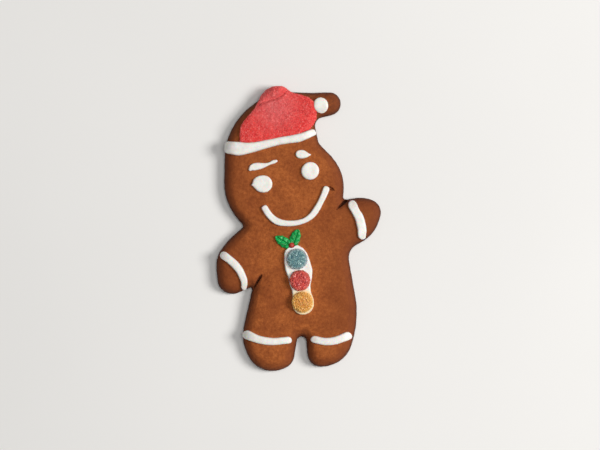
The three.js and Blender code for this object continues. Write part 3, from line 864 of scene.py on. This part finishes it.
# The jelly's pale and deep colour and its bright grains, the duller rim (partly painted shading
# on the sloping sides), and the sugar on it
BUTTONS = {
    "blue": {
        "pale": srgb(92, 136, 142), "deep": srgb(54, 98, 110), "bright": srgb(138, 168, 168),
        "rim": srgb(176, 176, 182), "sugar": srgb(162, 196, 192),
    },
    "red": {
        "pale": srgb(206, 52, 48), "deep": srgb(140, 20, 28), "bright": srgb(226, 96, 86),
        "rim": srgb(190, 98, 80), "sugar": srgb(240, 130, 116),
    },
    "yellow": {
        "pale": srgb(222, 150, 62), "deep": srgb(190, 112, 38), "bright": srgb(234, 178, 90),
        "rim": srgb(228, 184, 104), "sugar": srgb(240, 192, 108),
    },
}
BUTTON_LUMPS = [(4 * MM, 0.35 * MM), (1.3 * MM, 0.3 * MM), (0.7 * MM, 0.14 * MM)]
BUTTON_GRAINS = {"count": 430, "sizes": (0.5 * MM, 1.3 * MM), "sunk": 0.14 * MM}
GRAIN_ROOM = 0.75 * MM  # the room that is left for grains above the top of the jelly
SUGARED_ABOVE = BISCUIT_TOP + 2.6 * MM  # a button is sugared from here up
LOPSIDED = (0.6, 1)  # how far out a crystal's corners are, against a true box


def crystal(size, draw):
    """Corners and faces of one sugar crystal: a lopsided box, turned at random."""
    turn = Matrix.Rotation(draw.uniform(0, math.pi), 3, Vector([draw.gauss(0, 1) for _ in "xyz"]))
    corners = []
    for x in (-1, 1):
        for y in (-1, 1):
            for z in (-1, 1):
                squash = [draw.uniform(*LOPSIDED) for _ in "xyz"]
                corner = Vector((x * squash[0], y * squash[1], z * squash[2])) * (size / 2)
                corners.append(turn @ corner)
    faces = [(0, 1, 3, 2), (4, 6, 7, 5), (0, 4, 5, 1), (2, 3, 7, 6), (0, 2, 6, 4), (1, 5, 7, 3)]
    return corners, faces


def make_sugar(name, piece, shows, grains, material, slot, seed):
    """Crystals half sunk in a piece, on those of its faces that `shows` picks out."""
    draw = random.Random(seed)
    faces = [p for p in piece.data.polygons if shows(p)]
    corners, sides = [], []
    for face in draw.sample(faces, min(grains["count"], len(faces))):
        shape, outline = crystal(draw.uniform(*grains["sizes"]), draw)
        start = len(corners)
        spot = face.center - face.normal * grains["sunk"]
        corners += [spot + corner for corner in shape]
        sides += [tuple(start + i for i in side) for side in outline]
    mesh = bpy.data.meshes.new(name)
    mesh.from_pydata([tuple(c) for c in corners], [], sides)
    mesh.materials.append(material)
    place_piece(new_piece(name, mesh), slot)
    return mesh


def above_icing(face):
    return face.center.z > SUGARED_ABOVE


def make_button(colour, seed):
    node, slot = f"candy_{colour}", f"{colour}_jelly"
    look = BUTTONS[colour]
    piece = new_piece(f"jelly_button_{colour}", joined_mesh(node))
    soften(piece, voxel=0.3 * MM, rounds=10)
    mesh = piece.data
    co = places(mesh)
    co += outward(mesh) * lumps(co, BUTTON_LUMPS, seed)[:, None]
    base, top = co[:, 2].min(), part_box(node)[1].z - GRAIN_ROOM
    co[:, 2] = base + (co[:, 2] - base) * (top - base) / (co[:, 2].max() - base)
    move_to(mesh, co)
    coat = jelly(f"{colour}_jelly", look["pale"], look["deep"], look["bright"], look["rim"])
    mesh.materials.append(coat)
    place_piece(piece, slot, node)
    sugar = crystal_sugar(f"{colour}_sugar", look["sugar"], look["pale"], look["rim"], node)
    make_sugar(f"sugar_on_{colour}", piece, above_icing, BUTTON_GRAINS, sugar, slot, seed)


# ---------------------------------------------------------------------------
# Holly
# ---------------------------------------------------------------------------

LEAF_STEPS = 64
LEAF_COLUMNS = 24
SPINES = 3  # points along each side of a leaf
LEAF_HEIGHT = 2 * MM
LEAF_START = 0.22  # the share of a leaf's whole oval that is missing at its base
LEAF_POINT = 0.6  # 0.5 is a plain oval, and more is more pointed
BLUNT_FROM = 0.995  # from this share of its length on, a leaf gets no narrower
BETWEEN_SPINES = 0.93  # width between two spines, against the oval
SPINE_REACH = 0.15  # what a spine adds to that
MIDRIB = 0.17  # half the width of the groove down the middle, against half the leaf
RIM, DOME, PUFF, GROOVE = 0.3, 0.3, 0.45, 0.2  # what each gives or takes of a leaf's height
VEIN_LEAN = 0.45  # how far side veins run towards the tip on their way out to the spines
UNDER_BERRY = 1 * MM  # how far a leaf runs on under the berry
LEAF_SUNK = 0.4 * MM  # how far a leaf's underside lies inside the biscuit


def leaf_line(node, berry):
    """Base, tip and half width of a leaf, from its CAD node and the berry."""
    co = places(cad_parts[node].data)[:, :2]
    away = np.linalg.norm(co - berry, axis=1)
    tip = co[away.argmax()]
    base = co[away.argmin()]
    along = (tip - base) / np.linalg.norm(tip - base)
    side = np.array([-along[1], along[0]])
    across = (co - base) @ side
    base = base + side * (across.max() + across.min()) / 2 - along * UNDER_BERRY
    return base, tip, (across.max() - across.min()) / 2


def leaf_width(share):
    """Width of a leaf at a share of its length, against its oval's greatest width."""
    scallop = (share * SPINES) % 1
    along_oval = 2 * (LEAF_START + (1 - LEAF_START) * min(share, BLUNT_FROM)) - 1
    body = (1 - along_oval ** 2) ** LEAF_POINT
    return body * (BETWEEN_SPINES + SPINE_REACH * (1 - 4 * scallop * (1 - scallop)) ** 2)


def leaf_height(share, side):
    """Height of a leaf at a share of its length and from -1 to 1 across it."""
    vein = share * SPINES + (1 - abs(side)) * VEIN_LEAN
    puff = abs(math.sin(math.pi * vein)) ** 0.6
    middle = math.exp(-((side / MIDRIB) ** 2))
    edge = math.sqrt(max(0.0, 1 - abs(side) ** 3))
    return LEAF_HEIGHT * (RIM + DOME * edge + PUFF * edge * puff * (1 - middle) - GROOVE * middle)


def make_leaf(node, name, berry, material):
    base, tip, half = leaf_line(node, berry)
    along = tip - base
    side = np.array([-along[1], along[0]]) / np.linalg.norm(along)
    top, under = [], []
    for i in range(LEAF_STEPS + 1):
        share = i / LEAF_STEPS
        reach = half * leaf_width(share)
        for j in range(LEAF_COLUMNS + 1):
            across = 2 * j / LEAF_COLUMNS - 1
            x, y = base + along * share + side * (reach * across)
            top.append((x, y, BISCUIT_TOP + leaf_height(share, across)))
            under.append((x, y, BISCUIT_TOP - LEAF_SUNK))
    row = LEAF_COLUMNS + 1
    faces = []
    for i in range(LEAF_STEPS):
        for j in range(LEAF_COLUMNS):
            a = i * row + j
            b, c, d = a + 1, a + row + 1, a + row
            faces += [(a, b, c, d), tuple(len(top) + k for k in (d, c, b, a))]
    # The corners round the rim, in order, and the wall that joins the top to the underside
    rim = [i * row for i in range(LEAF_STEPS + 1)]
    rim += [LEAF_STEPS * row + j for j in range(1, row)]
    rim += [i * row + LEAF_COLUMNS for i in range(LEAF_STEPS - 1, -1, -1)]
    rim += list(range(LEAF_COLUMNS - 1, 0, -1))
    for a, b in zip(rim, rim[1:] + rim[:1]):
        faces.append((a, b, len(top) + b, len(top) + a))
    mesh = bpy.data.meshes.new(name)
    mesh.from_pydata(top + under, [], faces)
    piece = new_piece(name, mesh)
    soften(piece, voxel=0.2 * MM, rounds=4)
    piece.data.materials.append(material)
    place_piece(piece, "green_sugar", node)


def make_holly():
    low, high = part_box("holly_berry")
    berry = np.array((low + high)[:2]) / 2
    green = sugar_paste("green_sugar_paste", srgb(14, 178, 88), srgb(0, 124, 50))
    for side in ("left", "right"):
        make_leaf(f"holly_leaf_{side}", f"sugar_leaf_{side}", berry, green)
    piece = new_piece("sugar_berry", joined_mesh("holly_berry"))
    press_down(piece.data, swell=0.1 * MM)
    soften(piece, voxel=0.2 * MM, rounds=8)
    red = sugar_paste("red_sugar_paste", srgb(208, 76, 58), srgb(166, 44, 36))
    piece.data.materials.append(red)
    place_piece(piece, "red_sugar", "holly_berry")


# ---------------------------------------------------------------------------
# Everything in its place
# ---------------------------------------------------------------------------

set_camera()
set_studio()
add_floor()
bake_biscuit()
make_hat_icing()
make_white_icing()
make_button("blue", seed=31)
make_button("red", seed=41)
make_button("yellow", seed=51)
make_holly()
